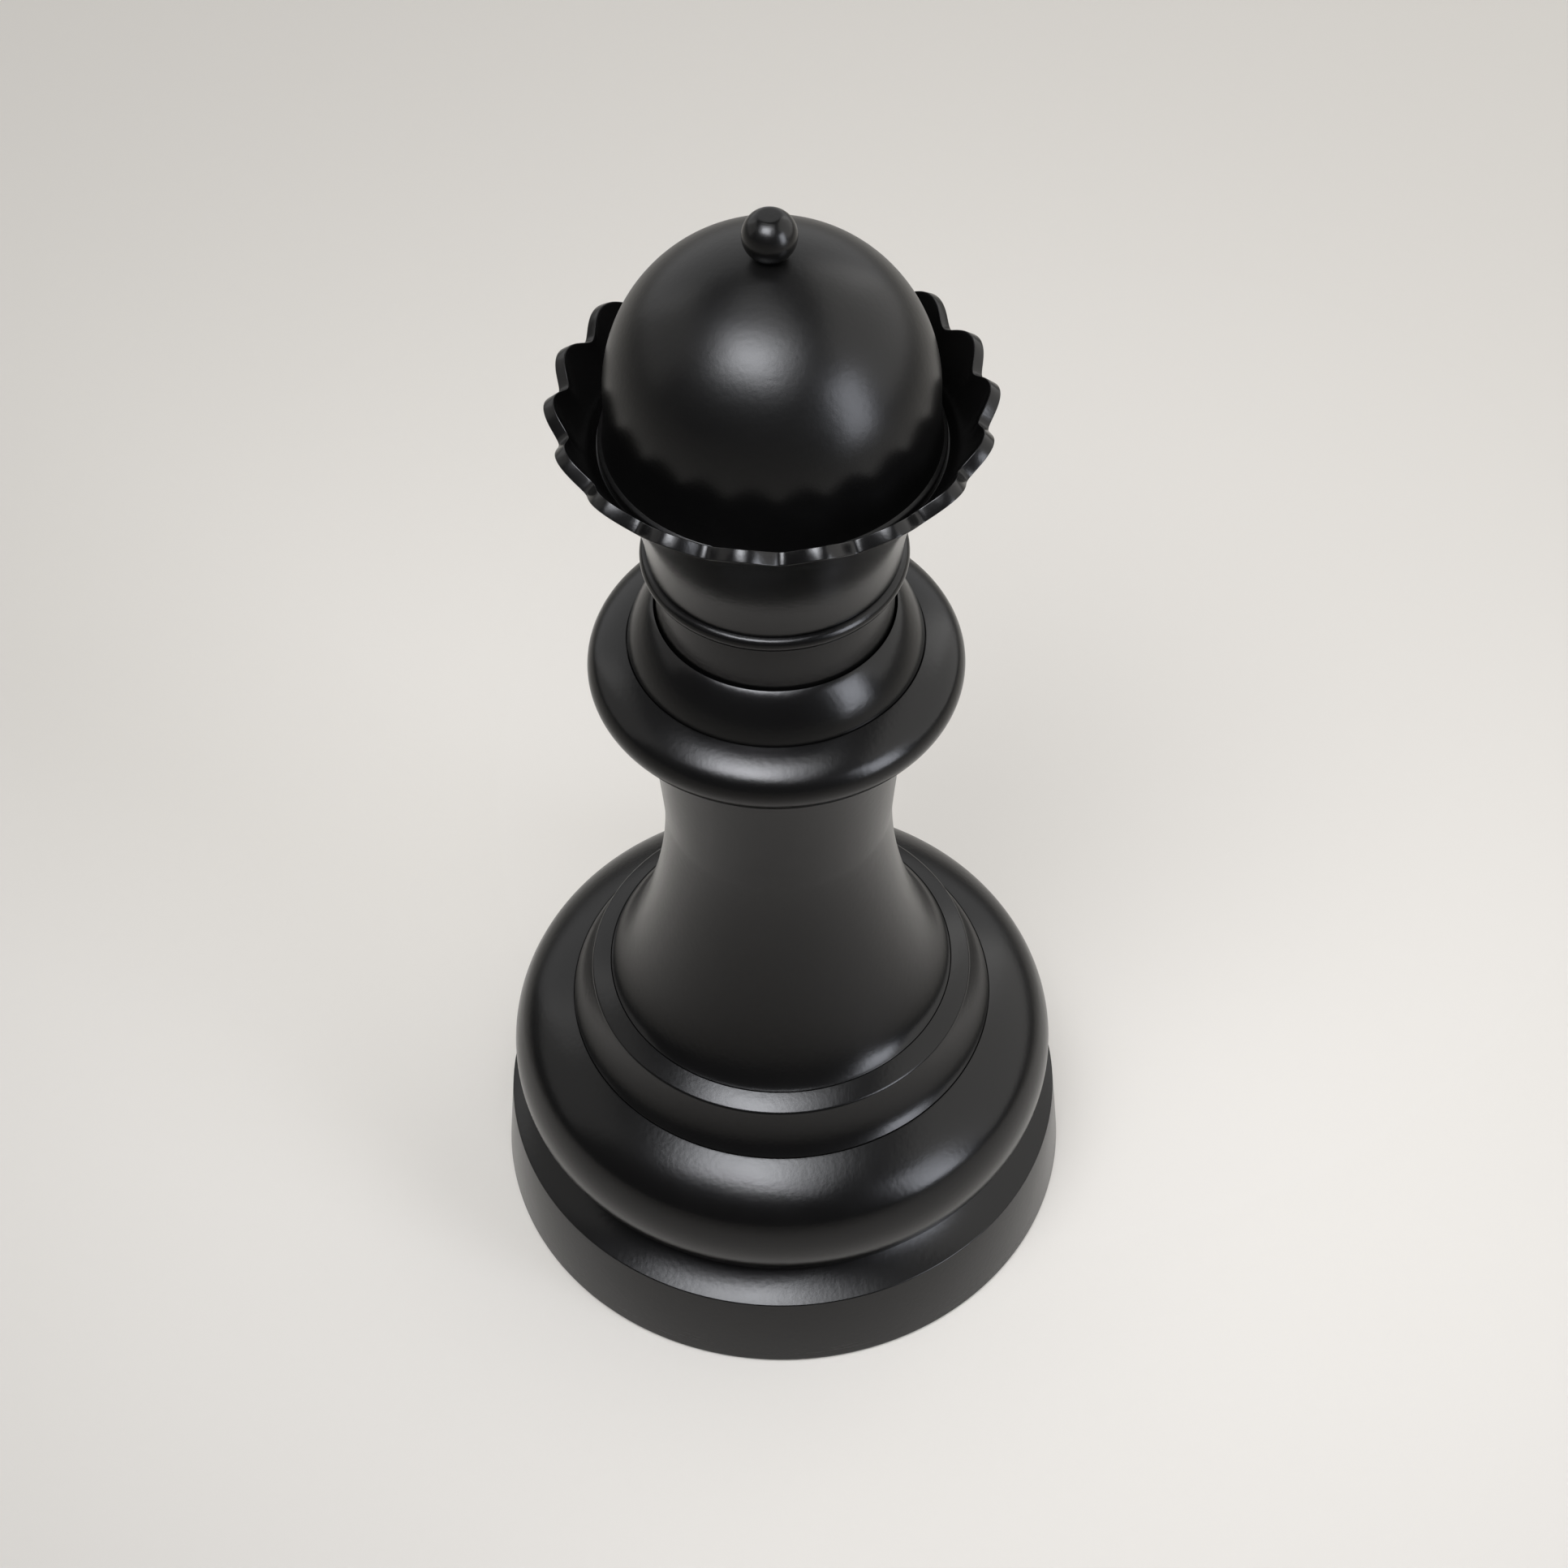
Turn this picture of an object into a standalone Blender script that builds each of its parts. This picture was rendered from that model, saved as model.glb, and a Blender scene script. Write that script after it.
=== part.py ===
"""Giant chess queen for lawn play, as the hollow moulded sections that it is put together from.

Metres, +Z up. The origin is on the ground under the middle of the foot, and every section is
turned about the Z axis. An outline point is written as (radius, height).
"""
import math

import bmesh
import bpy

# Fits and walls
GAP = 0.0003
SPIGOT_GAP = 0.00045
WALL = 0.004
LARGE_SIDES = 40
SMALL_SIDES = 32
MERGE_DISTANCE = 0.00001
SHARP_ANGLE = math.radians(35)

# Plinth: tapered foot ring with a cove on top and an inner skirt that carries the floor
BASE_RADIUS = 0.135
PLINTH_EDGE_RADIUS = 0.1309
PLINTH_EDGE_HEIGHT = 0.0425
PLINTH_FOOT_WIDTH = 0.006
COVE_INNER_RADIUS = 0.1154
COVE_TOP_HEIGHT = 0.0525
COVE_HANDLES = ((0.1262, 0.0443), (0.1212, 0.0470))
COVE_BACK = (0.1166, 0.0500)
SKIRT_RADIUS = 0.1086
SKIRT_TOP_HEIGHT = 0.064
COVE_ROOF_HEIGHT = 0.046
COVE_ROOF_MIDDLE_HEIGHT = 0.044
PLINTH_WALL_TOP = (0.1265, 0.0385)
FLOOR_TOP_HEIGHT = 0.0197

# Floor plate, its screws and the bosses that they go into
FLOOR_RADIUS = 0.1268
FILL_HOLE_RADIUS = 0.022
FILL_COLLAR_HEIGHT = 0.032
SCREW_COUNT = 6
SCREW_CIRCLE_RADIUS = 0.113
BOSS_RADIUS = 0.0055
BOSS_TOP_HEIGHT = 0.047
BOSS_SIDES = 12
PILOT_RADIUS = 0.0020
PILOT_TOP_HEIGHT = 0.038
PILOT_SIDES = 8
SCREW_HOLE_RADIUS = 0.0023
SCREW_HEAD_RADIUS = 0.0042
SCREW_HEAD_HEIGHT = 0.0028
SCREW_SHANK_RADIUS = 0.0017
SCREW_SHANK_LENGTH = 0.0196
SCREW_POINT_LENGTH = 0.002
SCREW_SIDES = 10

# Fill plug and its gasket
PLUG_HEAD_RADIUS = 0.0275
PLUG_HEAD_HEIGHT = 0.004
PLUG_SHANK_RADIUS = 0.0212
PLUG_TOP_HEIGHT = 0.031
PLUG_HOLLOW_RADIUS = 0.0175
PLUG_HOLLOW_FLOOR = 0.0175
PLUG_SIDES = 24
GASKET_INNER_RADIUS = 0.0216
GASKET_RADIUS = 0.027
GASKET_THICKNESS = 0.0016
COIN_SLOT_LENGTH = 0.036
COIN_SLOT_WIDTH = 0.004
COIN_SLOT_DEPTH = 0.0024

# Base bulb: a fat ring of oval section, a little flattened from its crown to its seam
BULB_CENTRE = (0.0932, 0.0790)
BULB_HALF_WIDTH = 0.0337
BULB_HALF_HEIGHT = 0.0351
BULB_SIDE_START = 30
BULB_CROWN_HANDLES = ((0.1104, 0.1089), (0.1190, 0.1027))
BULB_SEAM_HEIGHT = 0.1139
BULB_INSIDE_HALF_HEIGHT = 0.0301
BULB_INSIDE_START = -40
BULB_INSIDE_END = 70

# Shoulder band with the step ring and the blind socket for the stem
BAND_SEAM_RADIUS = 0.0973
BAND_LEDGE_HEIGHT = 0.111
BAND_SPIGOT_RADIUS = 0.0876
BAND_SPIGOT_FOOT = 0.104
STEP_RADIUS = 0.0875
STEP_HEIGHT = 0.1353
BAND_UPPER_HANDLE = (0.0884, 0.130)
BAND_LOWER_HANDLE = (0.092, 0.1185)
SOCKET_RADIUS = 0.0702
SOCKET_WALL = 0.0035
SOCKET_FLOOR_HEIGHT = 0.104
STEM_LEDGE_HEIGHT = 0.127

# Stem: foot flange in the step ring, waist, and the stepped spigot that carries collar and head
STEM_FOOT_RADIUS = 0.0785
STEM_FOOT_HEIGHT = 0.1389
WAIST_RADIUS = 0.0497
WAIST_HEIGHT = 0.2468
WAIST_HANDLE_DOWN = 0.0484
WAIST_HANDLE_UP = 0.0053
STEM_FOOT_HANDLE = (0.0689, 0.1442)
STEM_TOP_HANDLE = (0.0535, 0.300)
STEM_TOP_RADIUS = 0.0575
STEM_TOP_HEIGHT = 0.3249
COLLAR_SPIGOT_RADIUS = 0.049
COLLAR_SPIGOT_HEIGHT = 0.352
HEAD_SPIGOT_RADIUS = 0.0443
HEAD_SPIGOT_HEIGHT = 0.385
HEAD_BORE_RADIUS = 0.0402
STEM_INNER_HANDLE = (0.060, 0.160)
STEM_ROOF_FOOT = 0.306
STEM_ROOF_TOP = 0.3215

# Collar ring of oval section, and the quarter-round cap on it
COLLAR_CENTRE = (0.0553, 0.3405)
COLLAR_HALF_WIDTH = 0.0232
COLLAR_HALF_HEIGHT = 0.0153
COLLAR_INSIDE_HALF_HEIGHT = 0.0097
COLLAR_INSIDE_START = -70
COLLAR_INSIDE_END = 60
CAP_SEAM_RADIUS = 0.0618
CAP_LEDGE_HEIGHT = 0.3526
CAP_MOUTH_RADIUS = 0.0498
CAP_TOP_HEIGHT = 0.3756
CAP_LIP_DEPTH = 0.0042
CAP_HOLLOW_END = 80

# Neck sleeve and the half-round ring under the coronet
NECK_RADIUS = 0.0487
NECK_TOP_HEIGHT = 0.4009
NECK_RING_RADIUS = 0.0542
NECK_RING_TOP_HEIGHT = 0.4084

# Coronet: flared cup, its rim cut into rounded lobes. A rise share says how much of a lobe's height
# a row of the cup takes: the rows of the outside from foot to rim, then the root inside the rim.
LOBE_COUNT = 18
LOBE_HEIGHT = 0.0055
LOBE_TIP_ANGLE = math.radians(1.44)
LOBE_VALLEY_ROUNDING = 0.12
COLUMNS_PER_LOBE = 4
CUP_FOOT_RADIUS = 0.0515
CUP_FOOT_HANDLE = (0.0530, 0.440)
CUP_RIM_RADIUS = 0.0833
CUP_RIM_HEIGHT = 0.4799
CUP_FLARE = 0.8
CUP_RIM_HANDLE_DROP = 0.02
CUP_WALL = 0.0045
CUP_RISE_SHARES = (0, 0, 0, 0.1, 0.45, 1)
LOBE_ROOT_RISE_SHARE = 0.35
CUP_SPIGOT_FOOT = 0.388
CUP_BORE_TOP = 0.412
CUP_WELL_FOOT = 0.424
CUP_LOBE_ROOT = (0.0735, 0.4722)
DOME_LEDGE_HEIGHT = 0.4655
DOME_LEDGE_RADIUS = 0.0682
DOME_SOCKET_RADIUS = 0.0605

# Crown dome and the ball on it
DOME_RADIUS = 0.0645
DOME_CENTRE_HEIGHT = 0.4928
DOME_WALL = 0.0035
DOME_INSIDE_START = -12
DOME_FLANGE_RADIUS = 0.0676
DOME_FLANGE_TOP = 0.469
DOME_SKIRT = ((0.0649, 0.481), (0.0656, 0.473))
DOME_SPIGOT_FOOT = 0.456
FINIAL_HOLE_RADIUS = 0.0043
FINIAL_BOSS_RADIUS = 0.0085
FINIAL_BOSS_FOOT = 0.541
BALL_RADIUS = 0.0104
BALL_CENTRE_HEIGHT = 0.5666
BALL_FLAT_RADIUS = 0.0045
BALL_NECK_RADIUS = 0.0055
FINIAL_PEG_RADIUS = 0.004
FINIAL_PEG_FOOT = 0.542
FINIAL_SIDES = 20

# Colour (linear), roughness and metallic value of each finish
BLACK_PLASTIC = ((0.012, 0.012, 0.013), 0.38, 0.0)
PLUG_PLASTIC = ((0.018, 0.018, 0.019), 0.45, 0.0)
BLACK_RUBBER = ((0.016, 0.016, 0.016), 0.75, 0.0)
ZINC_STEEL = ((0.55, 0.56, 0.57), 0.35, 1.0)


def oval(centre, half_width, half_height, start, end, steps):
    """Points along an oval, with angles in degrees counted from straight outwards."""
    points = []
    for step in range(steps + 1):
        angle = math.radians(start + (end - start) * step / steps)
        points.append((centre[0] + half_width * math.cos(angle), centre[1] + half_height * math.sin(angle)))
    return points


def sweep(start, start_handle, end_handle, end, steps):
    """Points along a cubic curve with two handles."""
    points = []
    for step in range(steps + 1):
        t = step / steps
        weights = ((1 - t) ** 3, 3 * t * (1 - t) ** 2, 3 * t * t * (1 - t), t ** 3)
        corners = (start, start_handle, end_handle, end)
        points.append(tuple(sum(w * corner[axis] for w, corner in zip(weights, corners)) for axis in (0, 1)))
    return points


def frame_at(name, height, parent=None):
    """An empty on the Z axis that a section hangs from."""
    empty = bpy.data.objects.new(name, None)
    empty.empty_display_size = 0.05
    bpy.context.collection.objects.link(empty)
    empty["height"] = height
    empty.parent = parent
    empty.location.z = height - (parent["height"] if parent else 0)
    return empty


def finish(node_name, look):
    colour, roughness, metallic = look
    material = bpy.data.materials.new(node_name + "_finish")
    material.use_nodes = True
    shader = material.node_tree.nodes["Principled BSDF"]
    shader.inputs["Base Color"].default_value = (*colour, 1)
    shader.inputs["Roughness"].default_value = roughness
    shader.inputs["Metallic"].default_value = metallic
    return material


def new_object(name, form, frame, place=(0, 0, 0)):
    """Turn a bmesh into an object at a place given from its frame."""
    bmesh.ops.remove_doubles(form, verts=form.verts, dist=MERGE_DISTANCE)
    bmesh.ops.recalc_face_normals(form, faces=form.faces)
    mesh = bpy.data.meshes.new(name)
    form.to_mesh(mesh)
    form.free()
    mesh.shade_smooth()
    mesh.set_sharp_from_angle(angle=SHARP_ANGLE)
    piece = bpy.data.objects.new(name, mesh)
    bpy.context.collection.objects.link(piece)
    piece.parent = frame
    piece.location = place
    return piece


def turned_form(outline, sides, base_height):
    """Spin an outline about the Z axis. It is a closed loop unless both its ends lie on the axis."""
    form = bmesh.new()
    points = [form.verts.new((radius, 0, height - base_height)) for radius, height in outline]
    edges = [form.edges.new(pair) for pair in zip(points, points[1:])]
    if outline[0][0] > 0 or outline[-1][0] > 0:
        edges.append(form.edges.new((points[-1], points[0])))
    bmesh.ops.spin(form, geom=points + edges, cent=(0, 0, 0), axis=(0, 0, 1), angle=math.tau,
                   steps=sides, use_merge=True)
    return form


def turned(name, outline, sides, look, frame):
    """A piece turned on the Z axis, with its origin at its frame."""
    piece = new_object(name, turned_form(outline, sides, frame["height"]), frame)
    piece.data.materials.append(finish(name, look))
    return piece


def rods(name, radius, foot, top, sides, frame):
    """A guide object with one upright rod at each screw."""
    form = bmesh.new()
    for x, y in screw_places():
        made = bmesh.ops.create_cone(form, cap_ends=True, segments=sides, radius1=radius, radius2=radius,
                                     depth=top - foot)
        bmesh.ops.translate(form, verts=made["verts"], vec=(x, y, (foot + top) / 2 - frame["height"]))
    return as_guide(new_object(name, form, frame))


def as_guide(piece):
    piece.hide_render = True
    piece.display_type = "WIRE"
    return piece


def combine(piece, guide, operation):
    step = piece.modifiers.new(guide.name, "BOOLEAN")
    step.operation = operation
    step.object = guide
    step.solver = "EXACT"


def screw_places():
    for index in range(SCREW_COUNT):
        angle = math.tau * (index + 0.5) / SCREW_COUNT
        yield SCREW_CIRCLE_RADIUS * math.cos(angle), SCREW_CIRCLE_RADIUS * math.sin(angle)


def make_plinth(frame):
    cove = [*sweep((PLINTH_EDGE_RADIUS, PLINTH_EDGE_HEIGHT), *COVE_HANDLES, COVE_BACK, steps=4),
            (COVE_INNER_RADIUS, COVE_TOP_HEIGHT)]
    skirt_inside = SKIRT_RADIUS - WALL
    skirt_foot = FLOOR_TOP_HEIGHT + GAP
    outline = [(BASE_RADIUS - PLINTH_FOOT_WIDTH, 0), (BASE_RADIUS, 0), *cove,
               (SKIRT_RADIUS, COVE_TOP_HEIGHT), (SKIRT_RADIUS, SKIRT_TOP_HEIGHT),
               (skirt_inside, SKIRT_TOP_HEIGHT), (skirt_inside, skirt_foot), (SKIRT_RADIUS, skirt_foot),
               (SKIRT_RADIUS, COVE_ROOF_HEIGHT), (COVE_INNER_RADIUS, COVE_ROOF_MIDDLE_HEIGHT),
               PLINTH_WALL_TOP]
    plinth = turned("plinth", outline, LARGE_SIDES, BLACK_PLASTIC, frame)
    bosses = rods("screw_bosses", BOSS_RADIUS, skirt_foot + GAP, BOSS_TOP_HEIGHT, BOSS_SIDES, frame)
    pilots = rods("pilot_holes", PILOT_RADIUS, FLOOR_TOP_HEIGHT, PILOT_TOP_HEIGHT, PILOT_SIDES, frame)
    combine(plinth, bosses, "UNION")
    combine(plinth, pilots, "DIFFERENCE")


def make_floor(frame):
    foot = FLOOR_TOP_HEIGHT - WALL
    collar_radius = FILL_HOLE_RADIUS + WALL
    outline = [(FILL_HOLE_RADIUS, foot), (FLOOR_RADIUS, foot), (FLOOR_RADIUS, FLOOR_TOP_HEIGHT),
               (collar_radius, FLOOR_TOP_HEIGHT), (collar_radius, FILL_COLLAR_HEIGHT),
               (FILL_HOLE_RADIUS, FILL_COLLAR_HEIGHT)]
    plate = turned("base_plate", outline, LARGE_SIDES, BLACK_PLASTIC, frame)
    holes = rods("plate_holes", SCREW_HOLE_RADIUS, foot - WALL, FLOOR_TOP_HEIGHT + WALL, SCREW_SIDES, frame)
    combine(plate, holes, "DIFFERENCE")


def make_screws(frame):
    head_foot = FLOOR_TOP_HEIGHT - WALL - GAP - SCREW_HEAD_HEIGHT
    shank_end = SCREW_HEAD_HEIGHT + SCREW_SHANK_LENGTH
    outline = [(0, 0), (SCREW_HEAD_RADIUS, 0), (SCREW_HEAD_RADIUS, SCREW_HEAD_HEIGHT),
               (SCREW_SHANK_RADIUS, SCREW_HEAD_HEIGHT), (SCREW_SHANK_RADIUS, shank_end),
               (0, shank_end + SCREW_POINT_LENGTH)]
    for number, (x, y) in enumerate(screw_places(), start=1):
        name = f"base_screw_{number}"
        place = (x, y, head_foot - frame["height"])
        screw = new_object(name, turned_form(outline, SCREW_SIDES, 0), frame, place)
        screw.data.materials.append(finish(name, ZINC_STEEL))


def make_plug(frame):
    gasket_top = FLOOR_TOP_HEIGHT - WALL - GAP
    gasket_foot = gasket_top - GASKET_THICKNESS
    turned("plug_gasket",
           [(GASKET_INNER_RADIUS, gasket_foot), (GASKET_RADIUS, gasket_foot), (GASKET_RADIUS, gasket_top),
            (GASKET_INNER_RADIUS, gasket_top)], PLUG_SIDES, BLACK_RUBBER, frame)
    head_top = gasket_foot - GAP
    head_foot = head_top - PLUG_HEAD_HEIGHT
    plug = turned("fill_plug",
                  [(0, head_foot), (PLUG_HEAD_RADIUS, head_foot), (PLUG_HEAD_RADIUS, head_top),
                   (PLUG_SHANK_RADIUS, head_top), (PLUG_SHANK_RADIUS, PLUG_TOP_HEIGHT),
                   (PLUG_HOLLOW_RADIUS, PLUG_TOP_HEIGHT), (PLUG_HOLLOW_RADIUS, PLUG_HOLLOW_FLOOR),
                   (0, PLUG_HOLLOW_FLOOR)], PLUG_SIDES, PLUG_PLASTIC, frame)
    slot_form = bmesh.new()
    slot_size = (COIN_SLOT_LENGTH, COIN_SLOT_WIDTH, 2 * COIN_SLOT_DEPTH)
    bmesh.ops.create_cube(slot_form, size=1)
    bmesh.ops.scale(slot_form, verts=slot_form.verts, vec=slot_size)
    slot = as_guide(new_object("coin_slot", slot_form, frame, (0, 0, head_foot - frame["height"])))
    combine(plug, slot, "DIFFERENCE")


def make_bulb(frame):
    foot = COVE_TOP_HEIGHT + GAP
    foot_angle = math.degrees(math.asin((foot - BULB_CENTRE[1]) / BULB_HALF_HEIGHT))
    side = oval(BULB_CENTRE, BULB_HALF_WIDTH, BULB_HALF_HEIGHT, BULB_SIDE_START, foot_angle, steps=6)
    crown = sweep((BAND_SEAM_RADIUS, BULB_SEAM_HEIGHT), *BULB_CROWN_HANDLES, side[0], steps=4)
    inside = oval(BULB_CENTRE, BULB_HALF_WIDTH - WALL, BULB_INSIDE_HALF_HEIGHT,
                  BULB_INSIDE_START, BULB_INSIDE_END, steps=5)
    bore = BAND_SPIGOT_RADIUS + GAP
    socket = SKIRT_RADIUS + GAP
    outline = [*crown, *side[1:], (socket, foot), (socket, foot + WALL), *inside,
               (bore, BAND_LEDGE_HEIGHT - WALL), (bore, BAND_LEDGE_HEIGHT),
               (BAND_SEAM_RADIUS, BAND_LEDGE_HEIGHT)]
    turned("base_bulb", outline, LARGE_SIDES, BLACK_PLASTIC, frame)


def make_shoulder(frame):
    bore = STEM_FOOT_RADIUS + GAP
    rim = BAND_SEAM_RADIUS - GAP
    foot = BAND_LEDGE_HEIGHT + GAP
    seam_height = BULB_CENTRE[1] + BULB_HALF_HEIGHT
    roof = STEM_LEDGE_HEIGHT - SOCKET_WALL
    face = sweep((STEP_RADIUS, STEP_HEIGHT), BAND_UPPER_HANDLE, BAND_LOWER_HANDLE, (rim, seam_height),
                 steps=4)
    outline = [(0, SOCKET_FLOOR_HEIGHT), (SOCKET_RADIUS, SOCKET_FLOOR_HEIGHT),
               (SOCKET_RADIUS, STEM_LEDGE_HEIGHT), (bore, STEM_LEDGE_HEIGHT), (bore, STEM_FOOT_HEIGHT),
               *face, (rim, foot), (BAND_SPIGOT_RADIUS, foot), (BAND_SPIGOT_RADIUS, BAND_SPIGOT_FOOT),
               (BAND_SPIGOT_RADIUS - WALL, BAND_SPIGOT_FOOT), (BAND_SPIGOT_RADIUS - WALL, roof),
               (SOCKET_RADIUS + SOCKET_WALL, roof),
               (SOCKET_RADIUS + SOCKET_WALL, SOCKET_FLOOR_HEIGHT - SOCKET_WALL),
               (0, SOCKET_FLOOR_HEIGHT - SOCKET_WALL)]
    turned("shoulder_band", outline, LARGE_SIDES, BLACK_PLASTIC, frame)


def make_stem(frame):
    waist = (WAIST_RADIUS, WAIST_HEIGHT)
    above_waist = (WAIST_RADIUS, WAIST_HEIGHT + WAIST_HANDLE_UP)
    below_waist = (WAIST_RADIUS, WAIST_HEIGHT - WAIST_HANDLE_DOWN)
    upper = sweep((STEM_TOP_RADIUS, STEM_TOP_HEIGHT), STEM_TOP_HANDLE, above_waist, waist, steps=4)
    lower = sweep(waist, below_waist, STEM_FOOT_HANDLE, (STEM_FOOT_RADIUS, STEM_FOOT_HEIGHT), steps=7)
    spigot = SOCKET_RADIUS - SPIGOT_GAP
    seat = STEM_LEDGE_HEIGHT + GAP
    spigot_foot = SOCKET_FLOOR_HEIGHT + GAP
    inside = sweep((spigot - WALL, STEM_FOOT_HEIGHT), STEM_INNER_HANDLE,
                   (WAIST_RADIUS - WALL, below_waist[1]), (WAIST_RADIUS - WALL, WAIST_HEIGHT), steps=4)
    outline = [*upper, *lower[1:], (STEM_FOOT_RADIUS, seat), (spigot, seat), (spigot, spigot_foot),
               (spigot - WALL, spigot_foot), *inside, (WAIST_RADIUS, STEM_ROOF_FOOT),
               (HEAD_BORE_RADIUS, STEM_ROOF_TOP), (HEAD_BORE_RADIUS, HEAD_SPIGOT_HEIGHT),
               (HEAD_SPIGOT_RADIUS, HEAD_SPIGOT_HEIGHT),
               (HEAD_SPIGOT_RADIUS, COLLAR_SPIGOT_HEIGHT), (COLLAR_SPIGOT_RADIUS, COLLAR_SPIGOT_HEIGHT),
               (COLLAR_SPIGOT_RADIUS, STEM_TOP_HEIGHT)]
    turned("stem", outline, SMALL_SIDES, BLACK_PLASTIC, frame)


def make_collar(frame):
    bore = COLLAR_SPIGOT_RADIUS + GAP
    seam_angle = math.degrees(math.acos((CAP_SEAM_RADIUS - COLLAR_CENTRE[0]) / COLLAR_HALF_WIDTH))
    outside = oval(COLLAR_CENTRE, COLLAR_HALF_WIDTH, COLLAR_HALF_HEIGHT, seam_angle, end=-90, steps=9)
    inside = oval(COLLAR_CENTRE, COLLAR_HALF_WIDTH - WALL, COLLAR_INSIDE_HALF_HEIGHT,
                  COLLAR_INSIDE_START, COLLAR_INSIDE_END, steps=4)
    foot = COLLAR_CENTRE[1] - COLLAR_HALF_HEIGHT
    outline = [*outside, (bore, foot), (bore, foot + WALL), *inside, (bore, CAP_LEDGE_HEIGHT - WALL),
               (bore, CAP_LEDGE_HEIGHT), (CAP_SEAM_RADIUS, CAP_LEDGE_HEIGHT)]
    turned("collar_ring", outline, SMALL_SIDES, BLACK_PLASTIC, frame)

    cap_foot = CAP_LEDGE_HEIGHT + GAP
    seam_height = outside[0][1]
    centre = (CAP_MOUTH_RADIUS, seam_height)
    cap_width = CAP_SEAM_RADIUS - GAP - CAP_MOUTH_RADIUS
    cap_height = CAP_TOP_HEIGHT - seam_height
    crown = oval(centre, cap_width, cap_height, start=90, end=0, steps=6)
    hollow = oval(centre, cap_width - WALL, cap_height - WALL, start=0, end=CAP_HOLLOW_END, steps=3)
    outline = [*crown, (CAP_MOUTH_RADIUS + cap_width, cap_foot),
               (CAP_MOUTH_RADIUS + cap_width - WALL, cap_foot), *hollow,
               (CAP_MOUTH_RADIUS, CAP_TOP_HEIGHT - CAP_LIP_DEPTH)]
    turned("collar_cap", outline, SMALL_SIDES, BLACK_PLASTIC, frame)


def make_neck(frame):
    bore = HEAD_SPIGOT_RADIUS + GAP
    foot = COLLAR_SPIGOT_HEIGHT + GAP
    turned("neck_sleeve",
           [(bore, foot), (NECK_RADIUS, foot), (NECK_RADIUS, NECK_TOP_HEIGHT), (bore, NECK_TOP_HEIGHT)],
           SMALL_SIDES, BLACK_PLASTIC, frame)
    ring_foot = NECK_TOP_HEIGHT + GAP
    half_height = (NECK_RING_TOP_HEIGHT - ring_foot) / 2
    centre = (NECK_RING_RADIUS - half_height, ring_foot + half_height)
    bead = oval(centre, half_height, half_height, start=90, end=-90, steps=6)
    turned("neck_ring", [*bead, (bore, ring_foot), (bore, NECK_RING_TOP_HEIGHT)],
           SMALL_SIDES, BLACK_PLASTIC, frame)


def lobe_share(angle):
    """How far up its lobe the rim stands at an angle, from 0 in a valley to 1 at a tip."""
    swing = math.cos(LOBE_COUNT / 2 * (angle - LOBE_TIP_ANGLE))
    rounding = LOBE_VALLEY_ROUNDING
    return (math.hypot(swing, rounding) - rounding) / (math.hypot(1, rounding) - rounding)


def make_coronet(frame):
    """Rows run round the cup's section, each as radius, height and rise share."""
    foot = NECK_RING_TOP_HEIGHT + GAP
    slant = math.hypot(CUP_FLARE, 1)
    edge_in = CUP_WALL / slant
    edge_up = CUP_WALL * CUP_FLARE / slant
    below_rim = (CUP_RIM_RADIUS - CUP_RIM_HANDLE_DROP * CUP_FLARE, CUP_RIM_HEIGHT - CUP_RIM_HANDLE_DROP)
    outside = sweep((CUP_FOOT_RADIUS, foot), CUP_FOOT_HANDLE, below_rim, (CUP_RIM_RADIUS, CUP_RIM_HEIGHT),
                    steps=len(CUP_RISE_SHARES) - 1)
    rows = [(radius, height, share) for (radius, height), share in zip(outside, CUP_RISE_SHARES)]
    spigot = HEAD_SPIGOT_RADIUS
    bore = spigot - WALL
    rows += [(CUP_RIM_RADIUS - edge_in, CUP_RIM_HEIGHT + edge_up, 1),
             (*CUP_LOBE_ROOT, LOBE_ROOT_RISE_SHARE), (DOME_LEDGE_RADIUS, DOME_LEDGE_HEIGHT, 0),
             (DOME_SOCKET_RADIUS, DOME_LEDGE_HEIGHT, 0), (DOME_SOCKET_RADIUS, DOME_SPIGOT_FOOT - GAP, 0),
             (CUP_FOOT_RADIUS - CUP_WALL, CUP_WELL_FOOT, 0), (bore, CUP_BORE_TOP, 0),
             (bore, CUP_SPIGOT_FOOT, 0), (spigot, CUP_SPIGOT_FOOT, 0), (spigot, foot, 0)]
    form = bmesh.new()
    columns = []
    for index in range(LOBE_COUNT * COLUMNS_PER_LOBE):
        angle = LOBE_TIP_ANGLE + math.tau * index / (LOBE_COUNT * COLUMNS_PER_LOBE)
        rise_here = LOBE_HEIGHT * lobe_share(angle)
        column = []
        for radius, height, share in rows:
            reach = radius + share * rise_here * CUP_FLARE
            column.append(form.verts.new((reach * math.cos(angle), reach * math.sin(angle),
                                          height + share * rise_here - frame["height"])))
        columns.append(column)
    for column, following in zip(columns, columns[1:] + columns[:1]):
        for row in range(len(rows)):
            above = (row + 1) % len(rows)
            form.faces.new((column[row], following[row], following[above], column[above]))
    coronet = new_object("coronet", form, frame)
    coronet.data.materials.append(finish("coronet", BLACK_PLASTIC))


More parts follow.
